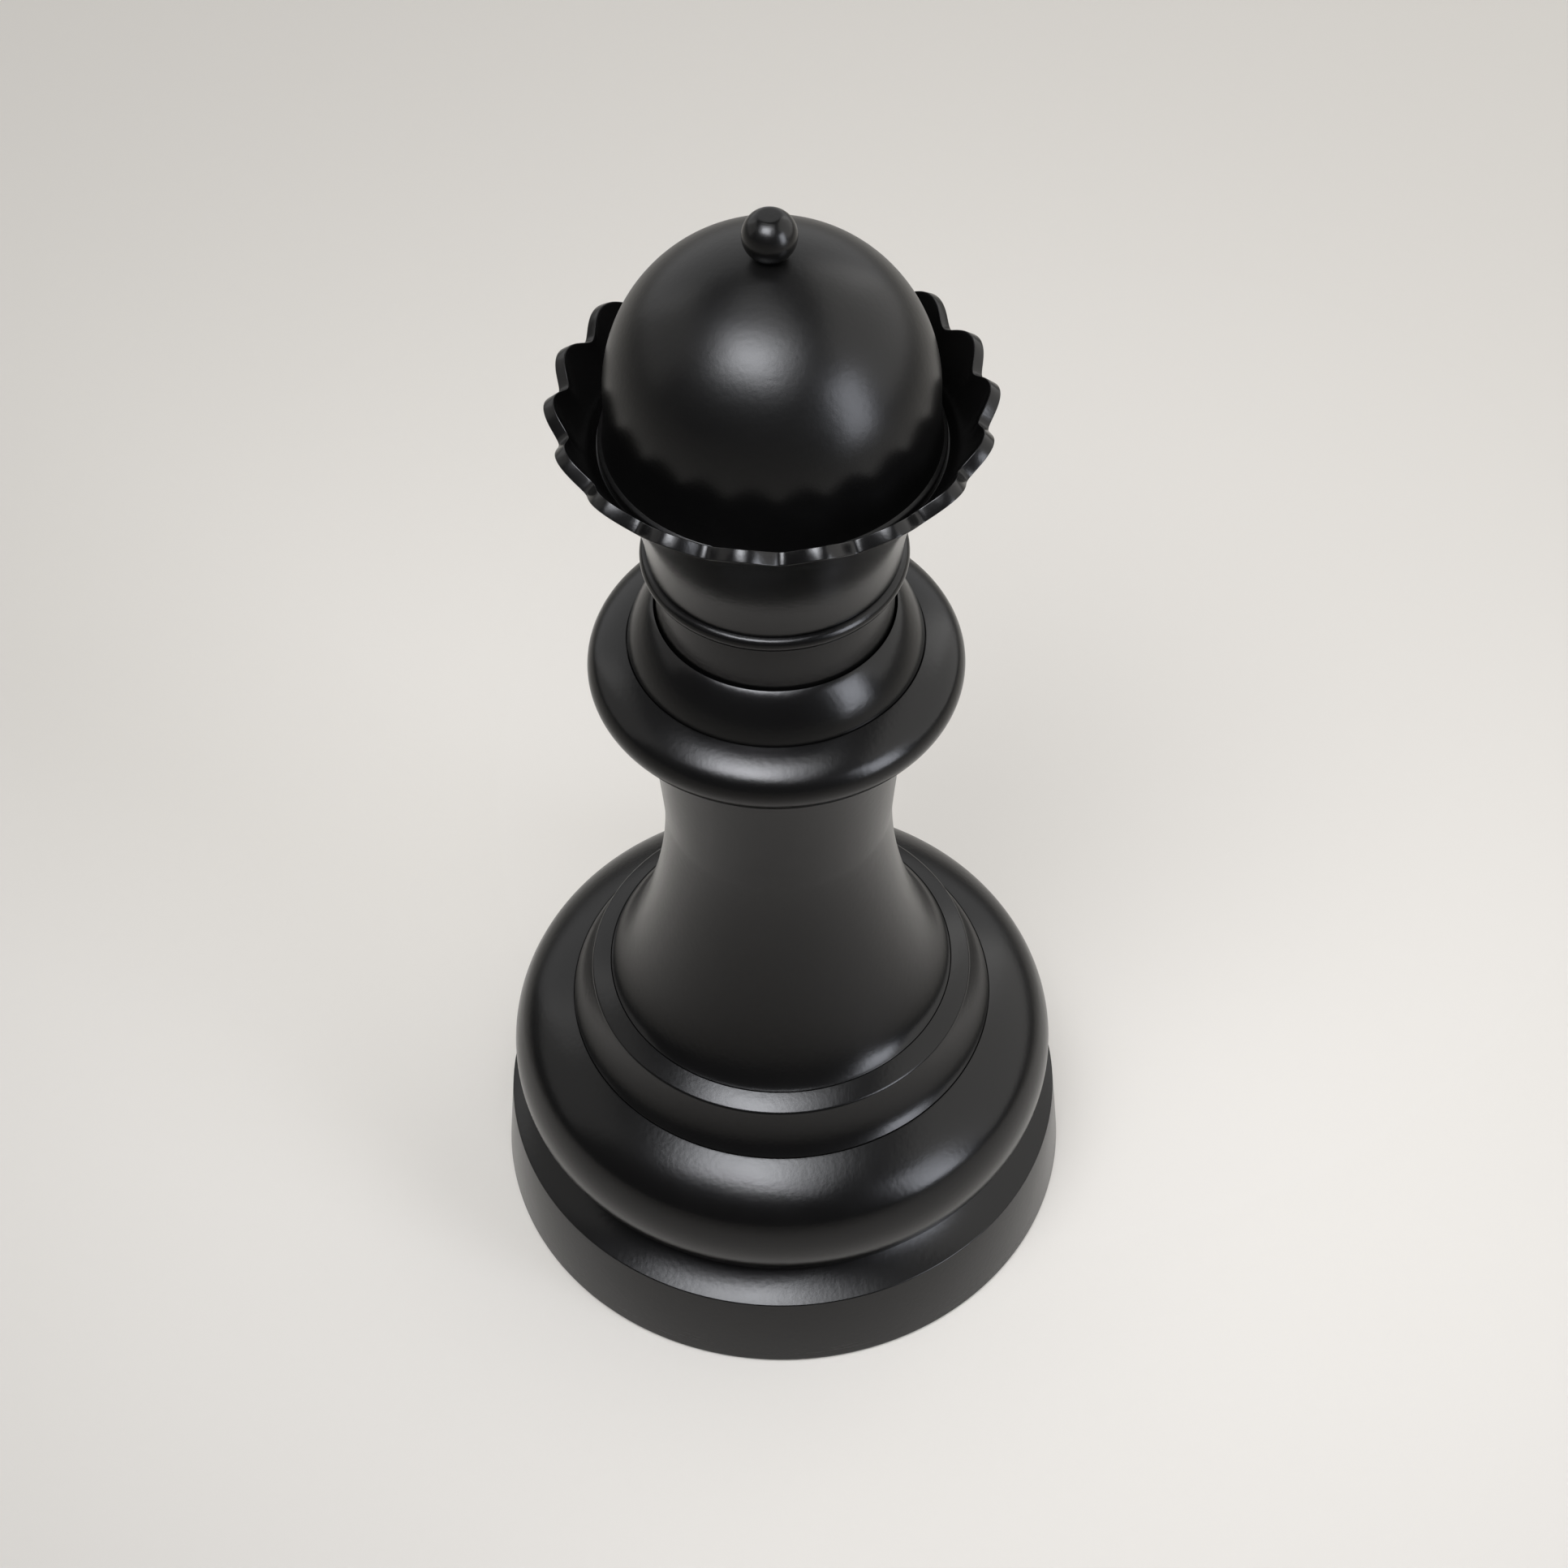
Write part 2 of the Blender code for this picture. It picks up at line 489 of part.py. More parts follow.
def make_dome(frame):
    centre = (0, DOME_CENTRE_HEIGHT)
    inner_radius = DOME_RADIUS - DOME_WALL
    hole_angle = math.degrees(math.acos(FINIAL_HOLE_RADIUS / DOME_RADIUS))
    boss_angle = math.degrees(math.acos(FINIAL_BOSS_RADIUS / inner_radius))
    spigot = DOME_SOCKET_RADIUS - SPIGOT_GAP
    seat = DOME_LEDGE_HEIGHT + GAP
    outside = oval(centre, DOME_RADIUS, DOME_RADIUS, hole_angle, end=0, steps=9)
    inside = oval(centre, inner_radius, inner_radius, DOME_INSIDE_START, boss_angle, steps=6)
    outline = [*outside, *DOME_SKIRT, (DOME_FLANGE_RADIUS, DOME_FLANGE_TOP), (DOME_FLANGE_RADIUS, seat),
               (spigot, seat), (spigot, DOME_SPIGOT_FOOT), (spigot - DOME_WALL, DOME_SPIGOT_FOOT),
               (spigot - DOME_WALL, seat), *inside,
               (FINIAL_BOSS_RADIUS, FINIAL_BOSS_FOOT), (FINIAL_HOLE_RADIUS, FINIAL_BOSS_FOOT)]
    turned("crown_dome", outline, SMALL_SIDES, BLACK_PLASTIC, frame)


def make_finial(frame):
    centre = (0, BALL_CENTRE_HEIGHT)
    flat_angle = math.degrees(math.acos(BALL_FLAT_RADIUS / BALL_RADIUS))
    neck_angle = -math.degrees(math.acos(BALL_NECK_RADIUS / BALL_RADIUS))
    ball = oval(centre, BALL_RADIUS, BALL_RADIUS, flat_angle, neck_angle, steps=7)
    seat = DOME_CENTRE_HEIGHT + DOME_RADIUS + GAP
    outline = [(0, ball[0][1]), *ball, (BALL_NECK_RADIUS, seat), (FINIAL_PEG_RADIUS, seat),
               (FINIAL_PEG_RADIUS, FINIAL_PEG_FOOT), (0, FINIAL_PEG_FOOT)]
    turned("finial", outline, FINIAL_SIDES, BLACK_PLASTIC, frame)


for leftover in list(bpy.data.objects):
    bpy.data.objects.remove(leftover)

base_frame = frame_at("base_frame", 0)
plug_frame = frame_at("plug_frame", FLOOR_TOP_HEIGHT - WALL, base_frame)
stem_frame = frame_at("stem_frame", STEM_LEDGE_HEIGHT, base_frame)
head_frame = frame_at("head_frame", COLLAR_SPIGOT_HEIGHT, stem_frame)
dome_frame = frame_at("dome_frame", DOME_LEDGE_HEIGHT, head_frame)

make_plinth(base_frame)
make_floor(base_frame)
make_screws(base_frame)
make_plug(plug_frame)
make_bulb(base_frame)
make_shoulder(base_frame)
make_stem(stem_frame)
make_collar(stem_frame)
make_neck(head_frame)
make_coronet(head_frame)
make_dome(dome_frame)
make_finial(dome_frame)
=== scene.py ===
"""Giant chess queen for lawn play: the looks.

The script follows the piece as it is put together, from the foot ring to the ball on the dome, and ends
with the studio. Metres, +Z up. Every moulding is turned about the Z axis, and an outline point is written
as (radius, height), with a third value where that corner is rounded off.
"""
import math

import bmesh
import bpy
from mathutils import Matrix, Vector


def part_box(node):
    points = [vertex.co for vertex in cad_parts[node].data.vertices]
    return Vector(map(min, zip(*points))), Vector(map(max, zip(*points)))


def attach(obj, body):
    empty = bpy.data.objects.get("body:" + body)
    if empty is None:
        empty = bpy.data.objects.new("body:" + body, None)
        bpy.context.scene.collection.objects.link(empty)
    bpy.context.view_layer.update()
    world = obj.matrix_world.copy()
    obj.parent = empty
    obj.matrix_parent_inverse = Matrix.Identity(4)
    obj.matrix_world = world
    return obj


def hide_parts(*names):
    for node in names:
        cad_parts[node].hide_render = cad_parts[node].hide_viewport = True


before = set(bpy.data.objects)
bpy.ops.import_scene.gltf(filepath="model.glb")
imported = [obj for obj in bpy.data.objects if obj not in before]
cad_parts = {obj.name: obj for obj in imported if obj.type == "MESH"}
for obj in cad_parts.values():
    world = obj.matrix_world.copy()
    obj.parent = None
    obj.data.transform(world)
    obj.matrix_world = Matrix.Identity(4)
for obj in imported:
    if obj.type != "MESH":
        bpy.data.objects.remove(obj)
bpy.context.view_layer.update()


# Plinth: the tapered foot ring that the queen stands on, with a cove round its top. It is moulded in
# satin black plastic. Its inner skirt carries the bulb, and six bosses beside the skirt take the screws.
TURN_SIDES = 192
CORNER_STEPS = 5
MERGE_DISTANCE = 0.00001
SMOOTH_BELOW = math.radians(32)
FIT_GAP = 0.0003
WALL = 0.004


def arc(centre, half_width, half_height, start, end, steps=28):
    """Points along an oval, with angles in degrees counted from straight outwards."""
    angles = [math.radians(start + (end - start) * step / steps) for step in range(steps + 1)]
    return [(centre[0] + half_width * math.cos(a), centre[1] + half_height * math.sin(a)) for a in angles]


def curve(start, start_handle, end_handle, end, steps=28):
    """Points along a cubic curve with two handles."""
    points = []
    for step in range(steps + 1):
        t = step / steps
        shares = ((1 - t) ** 3, 3 * t * (1 - t) ** 2, 3 * t * t * (1 - t), t ** 3)
        corners = (start, start_handle, end_handle, end)
        points.append(tuple(sum(s * c[axis] for s, c in zip(shares, corners)) for axis in (0, 1)))
    return points


def walk(points, index, step, distance):
    """Go that far along an outline from one of its points, and say how many points were passed."""
    here = points[index]
    passed = 0
    while True:
        ahead = points[(index + step * (passed + 1)) % len(points)]
        length = (ahead - here).length
        if length > distance:
            return here.lerp(ahead, distance / length), passed
        distance -= length
        here = ahead
        passed += 1


def soften(outline):
    """Put a small curve in place of each corner that states a rounding."""
    points = [Vector(point[:2]) for point in outline]
    bends = {}
    dropped = set()
    for index, point in enumerate(outline):
        if len(point) == 3:
            entry, before = walk(points, index, -1, point[2])
            leave, after = walk(points, index, 1, point[2])
            dropped.update((index + k) % len(points) for k in range(-before, after + 1))
            bends[index] = []
            for step in range(CORNER_STEPS + 1):
                t = step / CORNER_STEPS
                bends[index].append(entry * (1 - t) ** 2 + points[index] * 2 * t * (1 - t) + leave * t * t)
    softened = []
    for index, point in enumerate(points):
        if index in bends:
            softened += bends[index]
        elif index not in dropped:
            softened.append(point)
    return softened


def draw(name, outline):
    """Draw an outline beside the axis, one extruded point after another, and close it into a loop."""
    points = soften(outline)
    bpy.ops.object.select_all(action="DESELECT")
    bpy.ops.mesh.primitive_plane_add(size=MERGE_DISTANCE)
    piece = bpy.context.object
    piece.name = name
    piece.data.name = name
    bpy.ops.object.mode_set(mode="EDIT")
    bpy.ops.mesh.merge(type="CENTER")
    bpy.ops.transform.translate(value=(points[0].x, 0, points[0].y))
    for here, ahead in zip(points, points[1:]):
        step = ahead - here
        bpy.ops.mesh.extrude_region_move(TRANSFORM_OT_translate={"value": (step.x, 0, step.y)})
    if points[0].x > 0 or points[-1].x > 0:
        for vertex in bmesh.from_edit_mesh(piece.data).verts:
            vertex.select_set(len(vertex.link_edges) == 1)
        bpy.ops.mesh.edge_face_add()
    return piece


def turn(name, outline, sides=TURN_SIDES):
    """A moulding spun about the upright axis from its outline."""
    piece = draw(name, outline)
    bpy.ops.mesh.select_all(action="SELECT")
    bpy.ops.mesh.spin(steps=sides, angle=math.tau, center=(0, 0, 0), axis=(0, 0, 1), use_auto_merge=True)
    close_up()
    return piece


def close_up():
    """Merge the seams of the piece being edited, point its faces outwards and shade it."""
    bpy.ops.mesh.select_all(action="SELECT")
    bpy.ops.mesh.remove_doubles(threshold=MERGE_DISTANCE)
    bpy.ops.mesh.normals_make_consistent(inside=False)
    bpy.ops.object.mode_set(mode="OBJECT")
    bpy.ops.object.shade_smooth_by_angle(angle=SMOOTH_BELOW)


def copy_to(piece, name, step):
    """A copy of a piece with its own mesh, moved by a step."""
    copied = piece.copy()
    copied.name = name
    copied.data = piece.data.copy()
    copied.data.name = name
    copied.data.transform(Matrix.Translation(step))
    bpy.context.collection.objects.link(copied)
    return copied


def join_onto(piece, *others):
    """Make one object of several pieces that are moulded together."""
    bpy.ops.object.select_all(action="DESELECT")
    for other in (piece, *others):
        other.select_set(True)
    bpy.context.view_layer.objects.active = piece
    bpy.ops.object.join()


def add_node(tree, kind, values=None, **options):
    """A shader node with its options set, and the values of its inputs by socket name or number."""
    added = tree.nodes.new("ShaderNode" + kind)
    for option, value in options.items():
        setattr(added, option, value)
    for socket, value in (values or {}).items():
        added.inputs[socket].default_value = value
    return added


def connect(tree, *links):
    """Link sockets, each link written as (node, output, node, input)."""
    for from_node, output, to_node, socket in links:
        tree.links.new(from_node.outputs[output], to_node.inputs[socket])


def new_finish(name):
    """An empty finish: its node tree, its shader and its object coordinates."""
    finish = bpy.data.materials.new(name)
    finish.use_nodes = True
    tree = finish.node_tree
    return finish, tree, tree.nodes["Principled BSDF"], add_node(tree, "TexCoord")


def skin(tree, shader, vector, peel_size, peel_depth, grain_size, grain_depth):
    """The moulded skin as bump: a soft orange peel with a finer grain on it, sizes in metres."""
    grain = add_node(tree, "TexNoise", {"Scale": 1 / grain_size, "Detail": 1})
    grain_bump = add_node(tree, "Bump", {"Strength": 1, "Distance": grain_depth})
    peel = add_node(tree, "TexNoise", {"Scale": 1 / peel_size, "Detail": 2})
    peel_bump = add_node(tree, "Bump", {"Strength": 1, "Distance": peel_depth})
    connect(tree, (vector, "Vector", grain, "Vector"), (vector, "Vector", peel, "Vector"),
            (grain, "Fac", grain_bump, "Height"), (grain_bump, "Normal", peel_bump, "Normal"),
            (peel, "Fac", peel_bump, "Height"), (peel_bump, "Normal", shader, "Normal"))


BLACK = (0.0014, 0.0014, 0.0015, 1)
RUBBED_BLACK = (0.0034, 0.0032, 0.0030, 1)
SCUFF_GREY = (0.030, 0.029, 0.028, 1)
SCUFF_DULLING = 0.22
SATIN_GLOSS = 0.325


def black_plastic(name, seed, scuff_height=0.001, sheen=0.21, dull=0.265):
    """Satin black moulding with hand marks that go from sheen to dull, and scuffs up to a height."""
    finish, tree, shader, place = new_finish(name)
    shader.inputs["Specular IOR Level"].default_value = SATIN_GLOSS
    shift = add_node(tree, "Mapping", {"Location": (0.31 * seed, 0.17 * seed, 0.05 * seed)})
    marks = add_node(tree, "TexNoise", {"Scale": 19, "Detail": 5, "Roughness": 0.6, "Distortion": 0.4})
    gloss = add_node(tree, "MapRange", {"From Min": 0.3, "From Max": 0.7, "To Min": sheen, "To Max": dull})
    tone = add_node(tree, "MixRGB", {"Color1": BLACK, "Color2": RUBBED_BLACK})
    connect(tree, (place, "Object", shift, "Vector"), (shift, "Vector", marks, "Vector"),
            (marks, "Fac", gloss, "Value"), (marks, "Fac", tone, "Fac"))

    stretch = add_node(tree, "Mapping", {"Location": (0.2 * seed, 0, 0), "Scale": (28, 28, 600)})
    streaks = add_node(tree, "TexNoise", {"Scale": 1, "Detail": 4, "Roughness": 0.65})
    sharp = add_node(tree, "MapRange", {"From Min": 0.58, "From Max": 0.72})
    height = add_node(tree, "SeparateXYZ")
    low = add_node(tree, "MapRange", {"From Min": scuff_height, "From Max": 0})
    scuffs = add_node(tree, "Math", operation="MULTIPLY")
    scuffed = add_node(tree, "MixRGB", {"Color2": SCUFF_GREY})
    rough = add_node(tree, "Math", {1: SCUFF_DULLING}, operation="MULTIPLY_ADD")
    connect(tree, (place, "Object", stretch, "Vector"), (stretch, "Vector", streaks, "Vector"),
            (streaks, "Fac", sharp, "Value"), (place, "Object", height, "Vector"),
            (height, "Z", low, "Value"), (sharp, "Result", scuffs, 0), (low, "Result", scuffs, 1),
            (scuffs, 0, scuffed, "Fac"),
            (tone, "Color", scuffed, "Color1"), (scuffed, "Color", shader, "Base Color"),
            (scuffs, 0, rough, 0), (gloss, "Result", rough, 2), (rough, 0, shader, "Roughness"))
    skin(tree, shader, shift, peel_size=0.0024, peel_depth=0.00005, grain_size=0.0004, grain_depth=0.000008)
    return finish


def dress(piece, finish, body, node):
    """Give a finished piece its material and put it in the place of its plain solid."""
    piece.data.materials.clear()
    piece.data.materials.append(finish)
    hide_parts(node)
    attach(piece, body)


foot_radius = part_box("plinth")[1].x
foot_width = 0.006
foot_inner_round = 0.0012
foot_outer_round = 0.0016
plinth_edge = (0.1309, 0.0425)
plinth_edge_round = 0.0005
cove_slope = ((0.1262, 0.0443), (0.1212, 0.0467))
cove_back = (0.1166, 0.0500)
cove_radius = 0.1154
cove_height = 0.0525
cove_fillet = ((0.1158, 0.0505), (cove_radius, 0.0514))
floor_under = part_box("base_plate")[0].z
floor_top = floor_under + WALL
skirt_radius = 0.1086
skirt_foot = floor_top + FIT_GAP
skirt_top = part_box("plinth")[1].z
skirt_round = 0.0010
roof_inner = (skirt_radius, 0.0460)
roof_middle = (cove_radius, 0.0440)
roof_outer = (0.1265, 0.0385)
roof_round = 0.0030
cove = curve(plinth_edge, *cove_slope, cove_back)
cove += curve(cove_back, *cove_fillet, (cove_radius, cove_height), steps=8)[1:]
plinth_ring = turn("plinth_ring", [
    (foot_radius - foot_width, 0, foot_inner_round), (foot_radius, 0, foot_outer_round),
    (*cove[0], plinth_edge_round), *cove[1:], (skirt_radius, cove_height),
    (skirt_radius, skirt_top, skirt_round), (skirt_radius - WALL, skirt_top, skirt_round),
    (skirt_radius - WALL, skirt_foot), (skirt_radius, skirt_foot), roof_inner, roof_middle,
    (*roof_outer, roof_round)])

screw_places = []
for number in range(1, 7):
    low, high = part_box(f"base_screw_{number}")
    screw_places.append(Vector(((low.x + high.x) / 2, (low.y + high.y) / 2, low.z)))
boss_bore = 0.0020
boss_radius = 0.0055
boss_foot = skirt_foot + FIT_GAP
boss_top = 0.0470
boss_round = 0.0006
boss_sides = 32
boss = turn("screw_boss", [(boss_bore, boss_foot), (boss_radius, boss_foot, boss_round),
                           (boss_radius, boss_top), (boss_bore, boss_top)], sides=boss_sides)
bosses = [copy_to(boss, "screw_boss_copy", (place.x, place.y, 0)) for place in screw_places]
bpy.data.objects.remove(boss)
join_onto(plinth_ring, *bosses)
plinth_scuffs = 0.016
plinth_finish = black_plastic("plinth_plastic", seed=1, scuff_height=plinth_scuffs)
dress(plinth_ring, plinth_finish, "base", "plinth")


# Floor: a flat moulded disc that closes the foot from below and keeps the ballast in. It is matt black
# plastic with twelve ribs on its underside and a collar round the fill hole, held by six screws.
PLATE_BLACK = (0.0060, 0.0060, 0.0062, 1)
PLATE_GREY = (0.0120, 0.0116, 0.0110, 1)


def matt_plastic(name, seed, black, grey):
    """Matt moulding off a textured tool, with ground dirt rubbed into it in patches."""
    finish, tree, shader, place = new_finish(name)
    shift = add_node(tree, "Mapping", {"Location": (0.23 * seed, 0.41 * seed, 0)})
    dirt = add_node(tree, "TexNoise", {"Scale": 34, "Detail": 6, "Roughness": 0.62, "Distortion": 0.6})
    tone = add_node(tree, "MixRGB", {"Color1": black, "Color2": grey})
    gloss = add_node(tree, "MapRange", {"From Min": 0.3, "From Max": 0.7, "To Min": 0.46, "To Max": 0.62})
    connect(tree, (place, "Object", shift, "Vector"), (shift, "Vector", dirt, "Vector"),
            (dirt, "Fac", tone, "Fac"), (tone, "Color", shader, "Base Color"),
            (dirt, "Fac", gloss, "Value"), (gloss, "Result", shader, "Roughness"))
    skin(tree, shader, shift, peel_size=0.0011, peel_depth=0.00006, grain_size=0.0003, grain_depth=0.00002)
    return finish


def cut(piece, cutter):
    """Cut one closed shape out of another and throw the cutter away."""
    bpy.ops.object.select_all(action="DESELECT")
    piece.select_set(True)
    bpy.context.view_layer.objects.active = piece
    step = piece.modifiers.new("cut", "BOOLEAN")
    step.operation = "DIFFERENCE"
    step.solver = "EXACT"
    step.object = cutter
    bpy.ops.object.modifier_apply(modifier=step.name)
    bpy.data.objects.remove(cutter)


plate_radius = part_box("base_plate")[1].x
fill_collar_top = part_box("base_plate")[1].z
plate_round = 0.0010
fill_hole_radius = 0.022
fill_hole_round = 0.0008
fill_collar_radius = fill_hole_radius + WALL
floor_disc = turn("floor_disc", [
    (fill_hole_radius, floor_under, fill_hole_round), (plate_radius, floor_under, plate_round),
    (plate_radius, floor_top, plate_round), (fill_collar_radius, floor_top),
    (fill_collar_radius, fill_collar_top, fill_hole_round),
    (fill_hole_radius, fill_collar_top, fill_hole_round)])
screw_hole_radius = 0.0023
hole_sides = 24
hole_foot = floor_under - WALL
hole_top = floor_top + WALL
hole = turn("screw_hole", [(0, hole_foot), (screw_hole_radius, hole_foot), (screw_hole_radius, hole_top),
                           (0, hole_top)], sides=hole_sides)
for place in screw_places:
    cut(floor_disc, copy_to(hole, "screw_hole_copy", (place.x, place.y, 0)))
bpy.data.objects.remove(hole)

rib_count = 12
rib_inner = 0.036
rib_outer = 0.101
rib_width = 0.0022
rib_drop = 0.0014
rib_round = 0.0006
bpy.ops.object.select_all(action="DESELECT")
bpy.ops.mesh.primitive_cube_add(size=1)
ribs = bpy.context.object
bpy.ops.object.mode_set(mode="EDIT")
bpy.ops.transform.resize(value=(rib_outer - rib_inner, rib_width, 2 * rib_drop))
bpy.ops.mesh.bevel(offset=rib_round, segments=3, affect="EDGES")
bpy.ops.mesh.select_all(action="SELECT")
bpy.ops.transform.translate(value=((rib_outer + rib_inner) / 2, 0, floor_under))
bpy.ops.mesh.spin(steps=rib_count, angle=math.tau, dupli=True, center=(0, 0, 0), axis=(0, 0, 1))
close_up()
join_onto(floor_disc, ribs)
floor_finish = matt_plastic("floor_plastic", 1, PLATE_BLACK, PLATE_GREY)
dress(floor_disc, floor_finish, "base", "base_plate")


# Floor screws: six pan-head screws with a cross recess, zinc-plated steel. They go up through the floor
# into the plinth's bosses, with a rolled thread on the shank.
ZINC_BRIGHT = (0.60, 0.61, 0.62, 1)
ZINC_DULL = (0.34, 0.34, 0.33, 1)


def zinc_plate(name, seed):
    """Plated steel, bright with dull patches and a fine crystal grain."""
    finish, tree, shader, place = new_finish(name)
    shader.inputs["Metallic"].default_value = 1
    shift = add_node(tree, "Mapping", {"Location": (0.13 * seed, 0.07 * seed, 0)})
    patches = add_node(tree, "TexNoise", {"Scale": 420, "Detail": 4, "Roughness": 0.6})
    tone = add_node(tree, "MixRGB", {"Color1": ZINC_BRIGHT, "Color2": ZINC_DULL})
    gloss = add_node(tree, "MapRange", {"From Min": 0.3, "From Max": 0.7, "To Min": 0.26, "To Max": 0.48})
    connect(tree, (place, "Object", shift, "Vector"), (shift, "Vector", patches, "Vector"),
            (patches, "Fac", tone, "Fac"), (tone, "Color", shader, "Base Color"),
            (patches, "Fac", gloss, "Value"), (gloss, "Result", shader, "Roughness"))
    skin(tree, shader, shift, peel_size=0.0008, peel_depth=0.00002, grain_size=0.0002, grain_depth=0.000006)
    return finish


head_radius = 0.0042
head_height = 0.0028
head_round = 0.0003
pan_middle = (0.0004, 0)
pan_crown = ((0.0024, 0), (0.0040, 0.0006))
pan_edge = (head_radius, 0.0017)
shank_radius = 0.0017
root_radius = 0.0013
thread_pitch = 0.0016
thread_start = 0.0048
thread_turns = 11
thread_end = thread_start + thread_turns * thread_pitch
screw_sides = 40
screw_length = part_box("base_screw_1")[1].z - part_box("base_screw_1")[0].z
thread = []
for turn_number in range(thread_turns):
    ridge_foot = thread_start + turn_number * thread_pitch
    thread += [(root_radius, ridge_foot), (shank_radius, ridge_foot + thread_pitch / 2)]
screw = turn("floor_screw", [
    (0, 0), *curve(pan_middle, *pan_crown, pan_edge, steps=10), (head_radius, head_height, head_round),
    (shank_radius, head_height), (shank_radius, thread_start - thread_pitch), *thread,
    (root_radius, thread_end), (0, screw_length)], sides=screw_sides)
recess_length = 0.0046
recess_width = 0.0009
recess_depth = 0.0015
for bar_x, bar_y in ((recess_length, recess_width), (recess_width, recess_length)):
    bpy.ops.object.select_all(action="DESELECT")
    bpy.ops.mesh.primitive_cube_add(size=1)
    bar = bpy.context.object
    bpy.ops.object.mode_set(mode="EDIT")
    bpy.ops.transform.resize(value=(bar_x, bar_y, 2 * recess_depth))
    bpy.ops.object.mode_set(mode="OBJECT")
    cut(screw, bar)
for number, place in enumerate(screw_places, start=1):
    floor_screw = copy_to(screw, f"floor_screw_{number}", place)
    screw_finish = zinc_plate(f"screw_zinc_{number}", number)
    dress(floor_screw, screw_finish, "base", f"base_screw_{number}")
bpy.data.objects.remove(screw)


# Plug seal: a flat ring cut from black rubber, squeezed between the plug's head and the floor so that
# water ballast stays in. It drops with the plug as the plug is unscrewed.
RUBBER_BLACK = (0.0085, 0.0085, 0.0085, 1)
RUBBER_BLOOM = (0.0190, 0.0185, 0.0175, 1)


def seal_rubber(name):
    """Dull rubber with a pale bloom in patches and a fine pitted face."""
    finish, tree, shader, place = new_finish(name)
    bloom = add_node(tree, "TexNoise", {"Scale": 160, "Detail": 5, "Roughness": 0.6})
    tone = add_node(tree, "MixRGB", {"Color1": RUBBER_BLACK, "Color2": RUBBER_BLOOM})
    gloss = add_node(tree, "MapRange", {"From Min": 0.3, "From Max": 0.7, "To Min": 0.66, "To Max": 0.84})
    shift = add_node(tree, "Mapping", {"Location": (0.2, 0.1, 0)})
    connect(tree, (place, "Object", shift, "Vector"), (shift, "Vector", bloom, "Vector"),
            (bloom, "Fac", tone, "Fac"), (tone, "Color", shader, "Base Color"),
            (bloom, "Fac", gloss, "Value"), (gloss, "Result", shader, "Roughness"))
    skin(tree, shader, shift, peel_size=0.0009, peel_depth=0.00004, grain_size=0.00025, grain_depth=0.00002)
    return finish


seal_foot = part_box("plug_gasket")[0].z
seal_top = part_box("plug_gasket")[1].z
seal_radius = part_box("plug_gasket")[1].x
seal_bore = 0.0216
seal_round = 0.0006
seal_sides = 128
plug_seal = turn("plug_seal", [
    (seal_bore, seal_foot, seal_round), (seal_radius, seal_foot, seal_round),
    (seal_radius, seal_top, seal_round), (seal_bore, seal_top, seal_round)], sides=seal_sides)
dress(plug_seal, seal_rubber("seal_rubber"), "gasket", "plug_gasket")


# Fill plug: a threaded cap moulded in matt black plastic, with finger flutes round its head and a slot
# for a coin across it. It screws up into the floor's collar and is taken out to pour in sand or water.
PLUG_BLACK = (0.0072, 0.0072, 0.0075, 1)
PLUG_GREY = (0.0140, 0.0136, 0.0130, 1)
plug_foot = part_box("fill_plug")[0].z
plug_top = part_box("fill_plug")[1].z
plug_head_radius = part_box("fill_plug")[1].x
plug_head_top = seal_foot - FIT_GAP
plug_head_round = 0.0012
plug_edge_round = 0.0008
plug_rim_round = 0.0010
plug_shank_radius = 0.0200
plug_hollow_radius = 0.0175
plug_hollow_floor = 0.0175
flute_count = 24
sides_per_flute = 8
flute_depth = 0.0007
flute_band = 0.0010
plug_cap = turn("plug_cap", [
    (0, plug_foot), (plug_head_radius, plug_foot, plug_head_round),
    (plug_head_radius, plug_head_top, plug_edge_round), (plug_shank_radius, plug_head_top),
    (plug_shank_radius, plug_top, plug_rim_round), (plug_hollow_radius, plug_top, plug_rim_round),
    (plug_hollow_radius, plug_hollow_floor), (0, plug_hollow_floor)], sides=flute_count * sides_per_flute)
flute_from = plug_head_radius - flute_band
for vertex in plug_cap.data.vertices:
    reach = math.hypot(vertex.co.x, vertex.co.y)
    if reach > flute_from:
        angle = math.atan2(vertex.co.y, vertex.co.x)
        dip = flute_depth * (reach - flute_from) / flute_band
        shrink = 1 - dip * math.sin(flute_count * angle / 2) ** 2 / reach
        vertex.co.x *= shrink
        vertex.co.y *= shrink

coin_slot_length = 0.036
coin_slot_width = 0.004
coin_slot_depth = 0.0024
coin_slot_round = 0.0018
bpy.ops.object.select_all(action="DESELECT")
bpy.ops.mesh.primitive_cube_add(size=1)
coin_slot = bpy.context.object
bpy.ops.object.mode_set(mode="EDIT")
bpy.ops.transform.resize(value=(coin_slot_length, coin_slot_width, 2 * coin_slot_depth))
bpy.ops.transform.translate(value=(0, 0, plug_foot))
for edge in bmesh.from_edit_mesh(coin_slot.data).edges:
    edge.select_set(abs(edge.verts[0].co.z - edge.verts[1].co.z) > coin_slot_depth)
bpy.ops.mesh.bevel(offset=coin_slot_round, segments=6, affect="EDGES")
bpy.ops.object.mode_set(mode="OBJECT")
cut(plug_cap, coin_slot)

